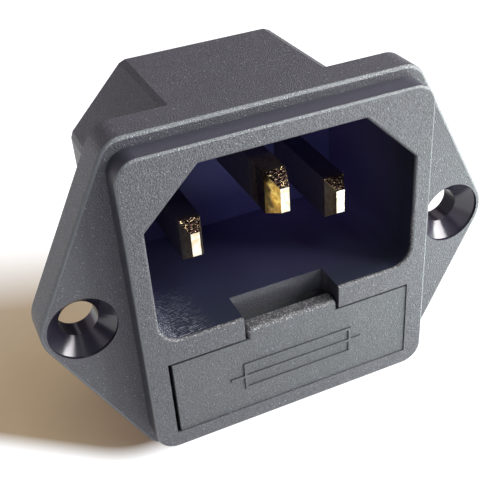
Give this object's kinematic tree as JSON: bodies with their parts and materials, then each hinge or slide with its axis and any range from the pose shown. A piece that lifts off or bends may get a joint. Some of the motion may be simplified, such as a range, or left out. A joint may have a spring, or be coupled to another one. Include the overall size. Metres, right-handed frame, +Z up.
{
  "type": "panel inlet socket",
  "caption": "Flanged three-pin appliance inlet for a panel cut-out, with a pull-out fuse drawer under the socket and solder tabs behind.",
  "frame": {"origin": "middle of the two screw holes, on the flange's rear face, where it meets the panel", "axes": "+X to the right seen from the front, +Z up (socket above, drawer below), the socket's mouth looks along -Y and the body goes behind the panel along +Y"},
  "size_m": [0.043, 0.027, 0.0322],
  "materials": {
    "black_moulding": "fine matt grain from the mould",
    "brass_pin": "bright drawn brass",
    "tinned_tab": "tin-plated strip, dull silver",
    "bronze_strip": "rolled spring bronze",
    "fuse_glass": "clear tube",
    "nickel_cap": "nickel-plated cap",
    "fuse_wire": "thin drawn wire"
  },
  "bodies": {
    "socket": {"housing": "black_moulding", "rear_plate": "black_moulding", "line_pin": "brass_pin", "neutral_pin": "brass_pin", "earth_pin": "brass_pin", "line_tab": "tinned_tab", "neutral_tab": "tinned_tab", "earth_tab": "tinned_tab", "load_rivet": "brass_pin", "supply_clip": "bronze_strip", "load_clip": "bronze_strip"},
    "drawer": {"fuse_drawer": "black_moulding", "fuse_glass": "fuse_glass", "fuse_cap_left": "nickel_cap", "fuse_cap_right": "nickel_cap", "fuse_wire": "fuse_wire", "spare_fuse_glass": "fuse_glass", "spare_fuse_cap_left": "nickel_cap", "spare_fuse_cap_right": "nickel_cap", "spare_fuse_wire": "fuse_wire"}
  },
  "joints": [
    {"name": "drawer_slide", "type": "slide", "parent": "socket", "child": "drawer", "axis": [0, -1, 0], "range_m": [0, 0.0155]}
  ]
}
